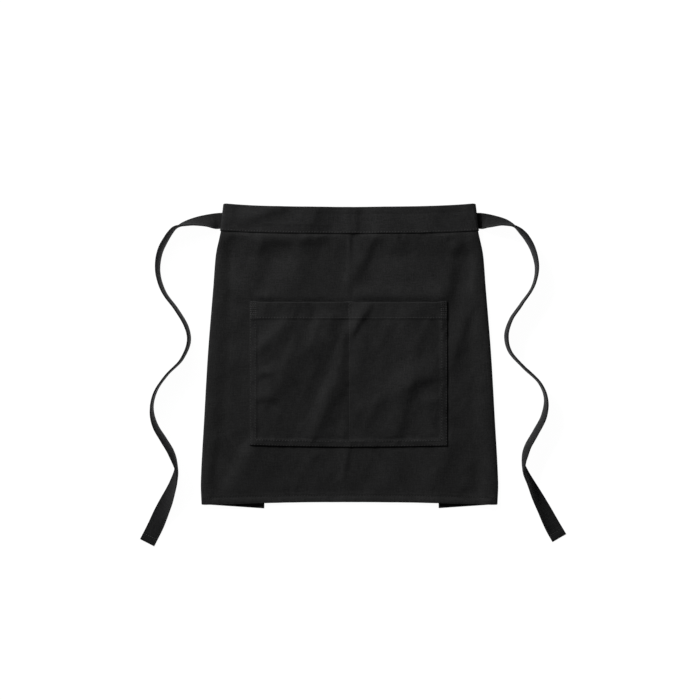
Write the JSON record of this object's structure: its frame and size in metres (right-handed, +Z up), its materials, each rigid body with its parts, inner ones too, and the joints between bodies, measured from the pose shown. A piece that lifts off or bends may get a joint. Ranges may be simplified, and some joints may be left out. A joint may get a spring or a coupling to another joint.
{
  "type": "waist apron",
  "caption": "Canvas waist apron laid face up with its sides folded under, a patch pocket with two compartments and a flat cloth tie at each side.",
  "frame": {"origin": "on the surface that the apron lies on, half way down the apron on its centre line, under the panel", "axes": "+X toward the right tie as seen from above, +Y toward the waistband, +Z up through the pocket"},
  "size_m": [0.6385, 0.5139, 0.023],
  "materials": {
    "panel_canvas": "black cotton canvas, matt, soft folds",
    "band_canvas": "black cotton canvas, folded and stitched",
    "pocket_canvas": "black cotton canvas, hemmed and stitched",
    "tie_canvas": "black cotton canvas tape, folded and stitched"
  },
  "bodies": {
    "root": {"apron_panel": "panel_canvas", "waistband": "band_canvas", "patch_pocket": "pocket_canvas", "left_tie": "tie_canvas", "right_tie": "tie_canvas"}
  },
  "joints": []
}
